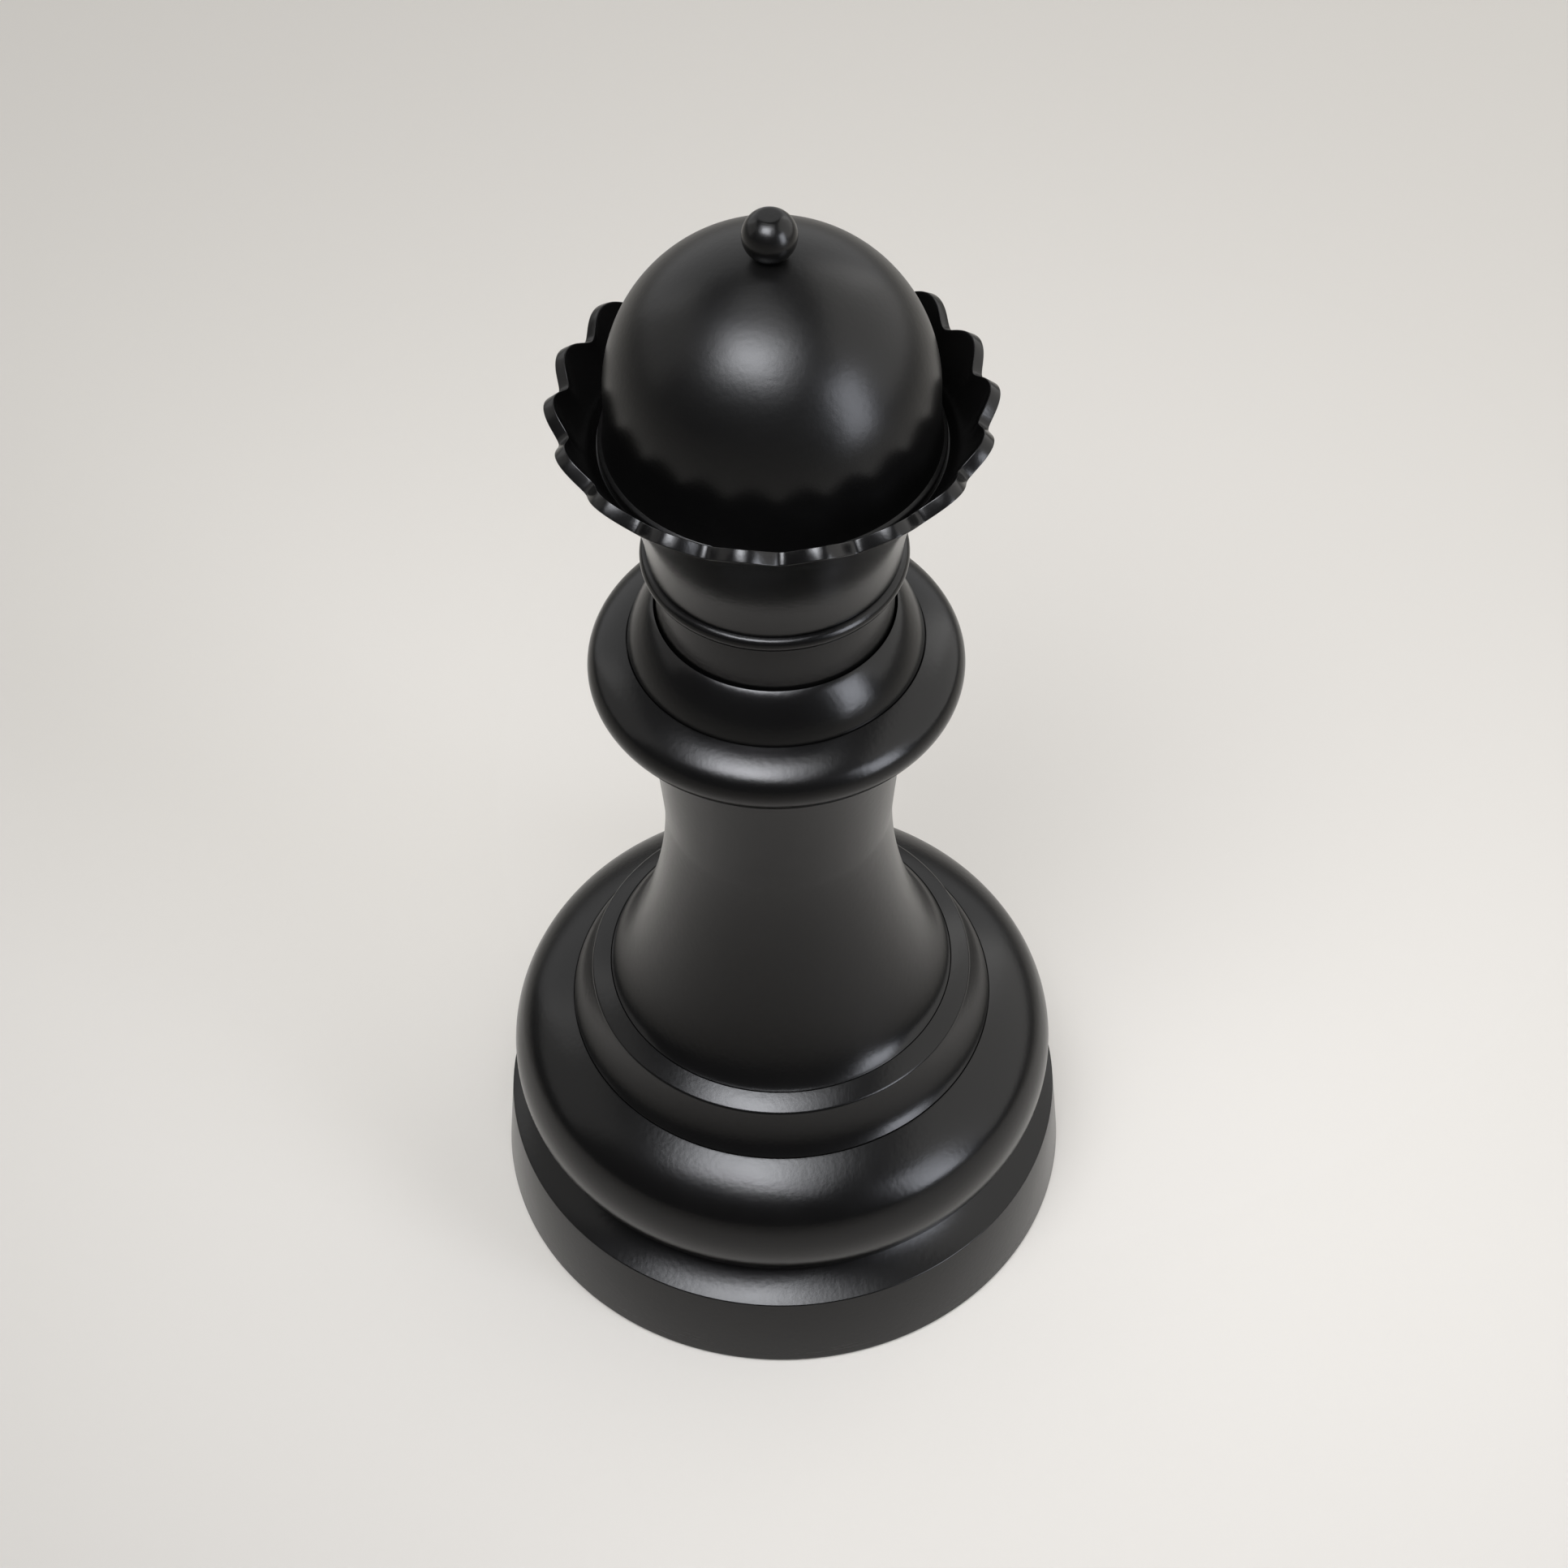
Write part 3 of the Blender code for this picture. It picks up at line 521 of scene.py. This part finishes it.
plug_pitch = 0.0025
plug_turns = 4
ridge_overlap = 0.0006
ridge_root = plug_shank_radius - ridge_overlap
ridge_crest = 0.0212
ridge_start = 0.0022
ridge_foot = plug_head_top + ridge_start
ridge_slope = 0.0009
ridge_flat = 0.0004
winding_sides = 64
plug_thread = draw("plug_thread", [
    (ridge_root, ridge_foot), (ridge_crest, ridge_foot + ridge_slope),
    (ridge_crest, ridge_foot + ridge_slope + ridge_flat),
    (ridge_root, ridge_foot + 2 * ridge_slope + ridge_flat)])
bpy.ops.object.mode_set(mode="OBJECT")
winding = plug_thread.modifiers.new("winding", "SCREW")
winding.axis = "Z"
winding.screw_offset = plug_pitch
winding.iterations = plug_turns
winding.steps = winding_sides
winding.render_steps = winding_sides
winding.merge_threshold = MERGE_DISTANCE
bpy.ops.object.modifier_apply(modifier=winding.name)
bpy.ops.object.mode_set(mode="EDIT")
for edge in bmesh.from_edit_mesh(plug_thread.data).edges:
    edge.select_set(edge.is_boundary)
bpy.ops.mesh.edge_face_add()
close_up()
join_onto(plug_cap, plug_thread)
plug_finish = matt_plastic("plug_plastic", 2, PLUG_BLACK, PLUG_GREY)
dress(plug_cap, plug_finish, "plug", "fill_plug")


# Bulb: the fat ring above the plinth, a hollow moulding of oval section. It slips over the plinth's
# skirt and is glued there, and its top edge takes the spigot of the shoulder band.
bulb_centre = (0.0932, 0.0790)
bulb_half_width = 0.0337
bulb_half_height = 0.0351
bulb_seam = (0.0973, 0.1139)
bulb_seam_round = 0.0003
bulb_foot_round = 0.0005
bulb_crown = ((0.1104, 0.1083), (0.1190, 0.1027))
bulb_crown_end = 30
bulb_foot = cove_height + FIT_GAP
bulb_foot_angle = math.degrees(math.asin((bulb_foot - bulb_centre[1]) / bulb_half_height))
bulb_bore = skirt_radius + FIT_GAP
band_seam_radius = bulb_seam[0]
band_ledge = 0.111
band_spigot_radius = 0.0876
band_bore = band_spigot_radius + FIT_GAP
bulb_side = arc(bulb_centre, bulb_half_width, bulb_half_height, bulb_crown_end, bulb_foot_angle, steps=36)
bulb_outside = curve(bulb_seam, *bulb_crown, bulb_side[0], steps=36) + bulb_side[1:]
bulb_inside = arc(bulb_centre, bulb_half_width - WALL, bulb_half_height - WALL, start=-40, end=70)
bulb_shell = turn("bulb_shell", [
    (*bulb_outside[0], bulb_seam_round), *bulb_outside[1:-1], (*bulb_outside[-1], bulb_foot_round),
    (bulb_bore, bulb_foot), (bulb_bore, bulb_foot + WALL), *bulb_inside, (band_bore, band_ledge - WALL),
    (band_bore, band_ledge), (band_seam_radius, band_ledge)])
dress(bulb_shell, black_plastic("bulb_plastic", seed=2), "base", "base_bulb")


# Shoulder band: the steep band above the bulb with a flat-topped step ring. Its spigot sits in the bulb,
# and a blind socket inside it takes the stem and closes the ballast space.
step_edge = (0.0875, 0.1348)
step_edge_round = 0.0009
band_slope = ((0.0884, 0.130), (0.092, 0.1185))
band_seam = (band_seam_radius - FIT_GAP, bulb_centre[1] + bulb_half_height)
band_seam_round = 0.0002
band_foot = band_ledge + FIT_GAP
band_inner_radius = band_spigot_radius - WALL
spigot_round = 0.0008
socket_radius = 0.0702
socket_wall = 0.0035
socket_outer_radius = socket_radius + socket_wall
socket_floor = 0.104
socket_under = socket_floor - socket_wall
socket_round = 0.0010
spigot_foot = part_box("shoulder_band")[0].z + socket_wall
stem_ledge = 0.127
stem_ledge_round = 0.0006
band_roof = stem_ledge - socket_wall
stem_foot_radius = 0.0785
stem_foot_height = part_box("shoulder_band")[1].z
stem_seat_radius = stem_foot_radius + FIT_GAP
band_face = curve(step_edge, *band_slope, band_seam)
shoulder_ring = turn("shoulder_ring", [
    (0, socket_floor), (socket_radius, socket_floor, socket_round),
    (socket_radius, stem_ledge, stem_ledge_round), (stem_seat_radius, stem_ledge),
    (stem_seat_radius, stem_foot_height, band_seam_round), (*band_face[0], step_edge_round),
    *band_face[1:-1], (*band_face[-1], band_seam_round), (band_seam[0], band_foot),
    (band_spigot_radius, band_foot), (band_spigot_radius, spigot_foot, spigot_round),
    (band_inner_radius, spigot_foot, spigot_round), (band_inner_radius, band_roof),
    (socket_outer_radius, band_roof), (socket_outer_radius, socket_under, socket_round),
    (0, socket_under)])
dress(shoulder_ring, black_plastic("shoulder_plastic", seed=3), "base", "shoulder_band")


# Stem: the waisted body, a hollow moulding with a foot flange that sits flush in the step ring. The
# stepped spigot on top carries the collar and, higher up, the head.
waist_radius = 0.0497
waist_height = 0.2468
waist_reach_down = 0.0484
waist_reach_up = 0.0053
waist = (waist_radius, waist_height)
waist_down = (waist_radius, waist_height - waist_reach_down)
waist_up = (waist_radius, waist_height + waist_reach_up)
stem_top = (0.0575, 0.3249)
stem_top_flare = (0.0535, 0.300)
stem_foot = (stem_foot_radius, stem_foot_height)
stem_foot_flare = (0.0689, 0.1442)
stem_seam_round = 0.0002
stem_seat = stem_ledge + FIT_GAP
LIFT_GAP = 1.5 * FIT_GAP
stem_spigot_radius = socket_radius - LIFT_GAP
stem_spigot_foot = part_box("stem")[0].z
stem_spigot_round = 0.0012
stem_mouth_radius = stem_spigot_radius - WALL
stem_mouth_round = 0.0008
stem_mouth_flare = (0.060, 0.160)
waist_inner_radius = waist_radius - WALL
bore_shoulder = (waist_radius, 0.306)
head_bore_radius = 0.0402
head_bore_foot = 0.3215
collar_spigot_radius = 0.049
collar_spigot_top = 0.352
collar_spigot_round = 0.0010
head_spigot_radius = 0.0443
head_spigot_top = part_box("stem")[1].z
stem_upper = curve(stem_top, stem_top_flare, waist_up, waist)
stem_lower = curve(waist, waist_down, stem_foot_flare, stem_foot, steps=48)
stem_inside = curve((stem_mouth_radius, stem_foot_height), stem_mouth_flare,
                    (waist_inner_radius, waist_down[1]), (waist_inner_radius, waist_height))
stem_shell = turn("stem_shell", [
    (*stem_upper[0], stem_seam_round), *stem_upper[1:], *stem_lower[1:-1],
    (*stem_lower[-1], stem_seam_round), (stem_foot_radius, stem_seat), (stem_spigot_radius, stem_seat),
    (stem_spigot_radius, stem_spigot_foot, stem_spigot_round),
    (stem_mouth_radius, stem_spigot_foot, stem_mouth_round), *stem_inside, bore_shoulder,
    (head_bore_radius, head_bore_foot), (head_bore_radius, head_spigot_top, stem_mouth_round),
    (head_spigot_radius, head_spigot_top, stem_spigot_round), (head_spigot_radius, collar_spigot_top),
    (collar_spigot_radius, collar_spigot_top, collar_spigot_round), (collar_spigot_radius, stem_top[1])])
dress(stem_shell, black_plastic("stem_plastic", seed=4), "stem", "stem")


# Collar: a hollow ring of oval section pushed down over the stem's spigot, and a quarter-round lid glued
# on it. The lid is open in the middle, and the neck stands in it with a narrow dark gap all round.
collar_centre = (0.0553, 0.3405)
collar_half_width = 0.0232
collar_half_height = 0.0153
collar_crown_end = 25
collar_crown = ((0.0671, 0.3537), (0.0740, 0.3502))
collar_hollow_height = 0.0097
collar_seam_round = 0.0002
collar_bore = collar_spigot_radius + FIT_GAP
collar_foot = collar_centre[1] - collar_half_height
lid_seam_radius = 0.0618
lid_seam_angle = math.acos((lid_seam_radius - collar_centre[0]) / collar_half_width)
lid_seam_height = collar_centre[1] + collar_half_height * math.sin(lid_seam_angle)
lid_ledge = 0.3526
collar_side = arc(collar_centre, collar_half_width, collar_half_height, collar_crown_end, end=-90, steps=48)
collar_outside = curve((lid_seam_radius, lid_seam_height), *collar_crown, collar_side[0]) + collar_side[1:]
collar_inside = arc(collar_centre, collar_half_width - WALL, collar_hollow_height, start=-70, end=60)
collar_shell = turn("collar_shell", [
    (*collar_outside[0], collar_seam_round), *collar_outside[1:], (collar_bore, collar_foot),
    (collar_bore, collar_foot + WALL), *collar_inside, (collar_bore, lid_ledge - WALL),
    (collar_bore, lid_ledge), (lid_seam_radius, lid_ledge)])
dress(collar_shell, black_plastic("collar_plastic", seed=5), "stem", "collar_ring")

lid_foot = lid_ledge + FIT_GAP
lid_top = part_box("collar_cap")[1].z
lid_height = lid_top - lid_seam_height
lid_mouth_radius = 0.0498
lid_mouth_round = 0.0003
lid_rim_radius = lid_seam_radius - FIT_GAP
lid_crown = ((0.0540, 0.3729), (0.0605, 0.3622))
lid_lip_depth = 0.0042
lid_roof = 1.5 * WALL
lid_outside = curve((lid_mouth_radius, lid_top), *lid_crown, (lid_rim_radius, lid_seam_height))
lid_inside = arc((lid_mouth_radius, lid_seam_height), lid_rim_radius - lid_mouth_radius - WALL,
                 lid_height - lid_roof, start=0, end=80, steps=12)
collar_lid = turn("collar_lid", [
    (*lid_outside[0], lid_mouth_round), *lid_outside[1:], (lid_rim_radius, lid_foot),
    (lid_rim_radius - WALL, lid_foot), *lid_inside, (lid_mouth_radius, lid_top - lid_lip_depth)])
dress(collar_lid, black_plastic("lid_plastic", seed=6), "stem", "collar_cap")


# Neck: a plain tube that slips over the stem's upper spigot, with a half-round bead on top of it under
# the coronet. Both are glued to the coronet and lift off with it.
neck_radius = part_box("neck_sleeve")[1].x
neck_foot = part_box("neck_sleeve")[0].z
neck_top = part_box("neck_sleeve")[1].z
neck_bore = head_spigot_radius + FIT_GAP
neck_foot_round = 0.0008
neck_top_round = 0.0005
neck_tube = turn("neck_tube", [
    (neck_bore, neck_foot, neck_foot_round), (neck_radius, neck_foot, neck_foot_round),
    (neck_radius, neck_top, neck_top_round), (neck_bore, neck_top)])
dress(neck_tube, black_plastic("neck_plastic", seed=7), "head", "neck_sleeve")

bead_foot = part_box("neck_ring")[0].z
bead_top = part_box("neck_ring")[1].z
bead_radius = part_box("neck_ring")[1].x
bead_half = (bead_top - bead_foot) / 2
bead_centre = (bead_radius - bead_half, bead_foot + bead_half)
bead_outside = arc(bead_centre, bead_half, bead_half, start=90, end=-90)
neck_bead = turn("neck_bead", [*bead_outside, (neck_bore, bead_foot), (neck_bore, bead_top)])
dress(neck_bead, black_plastic("bead_plastic", seed=8), "head", "neck_ring")


# Coronet: a flared cup whose rim is cut into eighteen rounded lobes with narrow notches between them. It
# is one thin moulding, with a spigot below for the neck and a ledge inside that the dome stands on.
lobe_count = 18
sides_per_lobe = 24
lobe_height = 0.0054
lobe_tip_angle = math.radians(1.63)
lobe_notch_rounding = 0.34
lobe_reach = 0.019
lobe_fade = 1.5
cup_foot_radius = 0.0515
cup_foot = bead_top + FIT_GAP
cup_foot_round = 0.0005
cup_foot_rise = (0.0530, 0.440)
cup_rim_radius = 0.0830
cup_rim_height = 0.4807
cup_flare = 0.8
cup_slant = math.hypot(cup_flare, 1)
cup_wall = 0.0053
cup_edge_round = 0.0005
rim_drop = 0.02
rim_handle = (cup_rim_radius - rim_drop * cup_flare, cup_rim_height - rim_drop)
inner_rim = (cup_rim_radius - cup_wall / cup_slant, cup_rim_height + cup_wall * cup_flare / cup_slant)
inner_slope = ((0.0765, 0.4770), (0.0735, 0.4722))
dome_ledge = 0.4655
dome_ledge_radius = 0.0682
dome_socket_radius = 0.0605
dome_spigot_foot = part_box("crown_dome")[0].z
dome_socket_floor = dome_spigot_foot - FIT_GAP
cup_hollow_foot = (cup_foot_radius - cup_wall, 0.424)
cup_hollow_round = 0.0060
cup_bore_radius = head_spigot_radius - WALL
cup_bore_top = 0.412
cup_spigot_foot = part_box("coronet")[0].z
cup_spigot_round = 0.0008
cup_outside = curve((cup_foot_radius, cup_foot), cup_foot_rise, rim_handle, (cup_rim_radius, cup_rim_height),
                    steps=56)
cup_inside = curve(inner_rim, *inner_slope, (dome_ledge_radius, dome_ledge), steps=16)
coronet_cup = turn("coronet_cup", [
    (*cup_outside[0], cup_foot_round), *cup_outside[1:-1], (*cup_outside[-1], cup_edge_round),
    (*cup_inside[0], cup_edge_round), *cup_inside[1:], (dome_socket_radius, dome_ledge),
    (dome_socket_radius, dome_socket_floor), (*cup_hollow_foot, cup_hollow_round),
    (cup_bore_radius, cup_bore_top), (cup_bore_radius, cup_spigot_foot, cup_spigot_round),
    (head_spigot_radius, cup_spigot_foot, cup_spigot_round), (head_spigot_radius, cup_foot)],
    sides=lobe_count * sides_per_lobe)
notch_depth = math.hypot(1, lobe_notch_rounding) - lobe_notch_rounding
for vertex in coronet_cup.data.vertices:
    reach = math.hypot(vertex.co.x, vertex.co.y)
    along = ((reach - cup_rim_radius) * cup_flare + vertex.co.z - cup_rim_height) / cup_slant
    share = max(0, min(1, 1 + along / lobe_reach)) ** lobe_fade
    angle = math.atan2(vertex.co.y, vertex.co.x) - lobe_tip_angle
    swing = math.cos(lobe_count / 2 * angle)
    rise = share * lobe_height * (math.hypot(swing, lobe_notch_rounding) - lobe_notch_rounding) / notch_depth
    vertex.co.x *= 1 + rise * cup_flare / reach
    vertex.co.y *= 1 + rise * cup_flare / reach
    vertex.co.z += rise
dress(coronet_cup, black_plastic("coronet_plastic", seed=9), "head", "coronet")


# Dome: a hollow cap that stands inside the coronet. A flange at its foot rests on the ledge there, with a
# spigot below it, so the dome lifts out by hand.
dome_radius = 0.0645
dome_centre = (0, 0.4928)
dome_wall = 0.0035
dome_inner_radius = dome_radius - dome_wall
dome_skirt = ((dome_radius, 0.484), (0.0652, 0.474))
dome_skirt_foot = (0.0660, 0.470)
dome_flange_radius = 0.0676
dome_flange_top = 0.469
dome_flange_round = 0.0006
dome_seat = dome_ledge + FIT_GAP
dome_spigot_radius = dome_socket_radius - LIFT_GAP
dome_spigot_round = 0.0008
dome_mouth_radius = dome_spigot_radius - dome_wall
ball_hole_radius = 0.0043
ball_boss_radius = 0.0085
ball_boss_foot = 0.541
ball_boss_round = 0.0006
ball_hole_angle = math.degrees(math.acos(ball_hole_radius / dome_radius))
ball_boss_angle = math.degrees(math.acos(ball_boss_radius / dome_inner_radius))
dome_outside = arc(dome_centre, dome_radius, dome_radius, ball_hole_angle, end=0, steps=64)
dome_outside += curve(dome_outside[-1], *dome_skirt, dome_skirt_foot, steps=10)[1:]
dome_inside = arc(dome_centre, dome_inner_radius, dome_inner_radius, start=-12, end=ball_boss_angle, steps=40)
dome_shell = turn("dome_shell", [
    *dome_outside, (dome_flange_radius, dome_flange_top, dome_flange_round), (dome_flange_radius, dome_seat),
    (dome_spigot_radius, dome_seat), (dome_spigot_radius, dome_spigot_foot, dome_spigot_round),
    (dome_mouth_radius, dome_spigot_foot, dome_spigot_round), (dome_mouth_radius, dome_seat),
    *dome_inside, (ball_boss_radius, ball_boss_foot, ball_boss_round), (ball_hole_radius, ball_boss_foot)])
dome_finish = black_plastic("dome_plastic", seed=10, sheen=0.29, dull=0.34)
dress(dome_shell, dome_finish, "dome", "crown_dome")


# Ball: a solid ball with a small flat on top and a short neck, moulded in the same black plastic. Its peg
# is pressed and glued into the hole in the dome.
ball_peg_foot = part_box("finial")[0].z
ball_radius = 0.0104
ball_centre = (0, 0.5666)
ball_flat_radius = 0.0045
ball_neck_radius = 0.0055
ball_peg_radius = 0.004
ball_flat_round = 0.0008
ball_peg_round = 0.0006
ball_sides = 96
ball_seat = dome_centre[1] + dome_radius + FIT_GAP
ball_flat_angle = math.degrees(math.acos(ball_flat_radius / ball_radius))
ball_neck_angle = -math.degrees(math.acos(ball_neck_radius / ball_radius))
ball_outside = arc(ball_centre, ball_radius, ball_radius, ball_flat_angle, ball_neck_angle, steps=40)
dome_ball = turn("dome_ball", [
    (0, ball_outside[0][1]), (*ball_outside[0], ball_flat_round), *ball_outside[1:],
    (ball_neck_radius, ball_seat), (ball_peg_radius, ball_seat),
    (ball_peg_radius, ball_peg_foot, ball_peg_round), (0, ball_peg_foot)], sides=ball_sides)
dress(dome_ball, black_plastic("ball_plastic", seed=11), "dome", "finial")


# Studio: a plain pale floor under soft lamps. A gridded softbox, brightest in its middle, hangs above the
# front. A strip and a panel stand on the right, a panel behind, a small one on the left and a card overhead.
floor_size = 120
floor_drop = 0.0005
floor_colour = (0.46, 0.442, 0.412, 1)
floor_glow_colour = (1, 0.968, 0.910, 1)
floor_glow = 0.20
floor_roughness = 0.9
bpy.ops.object.select_all(action="DESELECT")
bpy.ops.mesh.primitive_plane_add(size=floor_size)
studio_floor = bpy.context.object
studio_floor.name = "studio_floor"
bpy.ops.object.mode_set(mode="EDIT")
bpy.ops.transform.translate(value=(0, 0, -floor_drop))
bpy.ops.object.mode_set(mode="OBJECT")

finish, tree, shader, place = new_finish("studio_floor")
rays = add_node(tree, "LightPath")
camera_or_gloss = add_node(tree, "Math", operation="MAXIMUM")
seen = add_node(tree, "Math", operation="MAXIMUM")
seen_glow = add_node(tree, "Math", {1: floor_glow}, operation="MULTIPLY")
connect(tree, (rays, "Is Camera Ray", camera_or_gloss, 0), (rays, "Is Glossy Ray", camera_or_gloss, 1),
        (camera_or_gloss, 0, seen, 0), (rays, "Is Transmission Ray", seen, 1), (seen, 0, seen_glow, 0),
        (seen_glow, 0, shader, "Emission Strength"))
shader.inputs["Base Color"].default_value = floor_colour
shader.inputs["Roughness"].default_value = floor_roughness
shader.inputs["Emission Color"].default_value = floor_glow_colour
studio_floor.data.materials.append(finish)


QUEEN_MIDDLE = (0, 0, 0.35)
WHITE_LIGHT = (1, 1, 1)
WARM_LIGHT = (1, 0.98, 0.95)
KEY_LIGHT = (0.965, 0.98, 1.03)
COOL_LIGHT = (0.94, 0.97, 1.06)


def softbox(name, place, width, height, power, colour=WHITE_LIGHT, aim=QUEEN_MIDDLE, spread=180):
    """A rectangular lamp that faces a point, with a grid on it where the spread in degrees is narrow."""
    bpy.ops.object.light_add(type="AREA", location=place)
    lamp = bpy.context.object
    lamp.name = name
    lamp.data.shape = "RECTANGLE"
    lamp.data.size = width
    lamp.data.size_y = height
    lamp.data.energy = power
    lamp.data.color = colour
    lamp.data.spread = math.radians(spread)
    lamp.rotation_euler = (Vector(aim) - Vector(place)).to_track_quat("-Z", "Y").to_euler()
    lamp.visible_camera = False


key_aim = (0, -0.02, 0.36)
key_grid = 80
softbox("key_box", (-0.20, -0.41, 1.20), 0.40, 0.21, 0.38, KEY_LIGHT, key_aim, key_grid)
softbox("key_box", (-0.19, -0.41, 1.22), 0.57, 0.37, 0.88, KEY_LIGHT, key_aim, key_grid)
softbox("key_box", (-0.16, -0.41, 1.24), 0.90, 0.52, 1.82, KEY_LIGHT, key_aim, key_grid)
softbox("right_strip", (1.15, -0.78, 0.80), 0.50, 1.00, 4.25, COOL_LIGHT, spread=100)
softbox("right_panel", (1.45, 0.45, 1.30), 2.4, 2.0, 20.0, WARM_LIGHT)
softbox("back_panel", (-0.2, 1.9, 1.35), 4.8, 2.0, 26.2)
softbox("ceiling_card", (-0.05, -0.04, 1.75), 1.1, 0.5, 2.5, aim=(0, 0, 0.5))
softbox("left_panel", (-1.7, 0.45, 1.3), 1.6, 1.4, 4.3, WARM_LIGHT)

air_colour = (0.10, 0.10, 0.103, 1)
studio = bpy.data.worlds.new("studio_air")
studio.use_nodes = True
studio.node_tree.nodes["Background"].inputs["Color"].default_value = air_colour
bpy.context.scene.world = studio
bpy.context.scene.view_settings.view_transform = "Standard"

camera_place = Vector((0, -0.90163, 1.32492))
camera_turn = math.radians(0.158)
camera_dip = math.radians(49.760)
camera_roll = math.radians(0.789)
camera_lens = 73.74
camera_sensor = 36
ahead = Vector((math.sin(camera_turn) * math.cos(camera_dip), math.cos(camera_turn) * math.cos(camera_dip),
                -math.sin(camera_dip)))
level = Vector((math.cos(camera_turn), -math.sin(camera_turn), 0))
below = ahead.cross(level)
right = math.cos(camera_roll) * level + math.sin(camera_roll) * below
down = math.cos(camera_roll) * below - math.sin(camera_roll) * level
bpy.ops.object.camera_add(location=camera_place)
camera = bpy.context.object
camera.name = "photo_camera"
camera.data.sensor_width = camera_sensor
camera.data.lens = camera_lens
camera.rotation_euler = Matrix((right, -down, -ahead)).transposed().to_euler()
bpy.context.scene.camera = camera
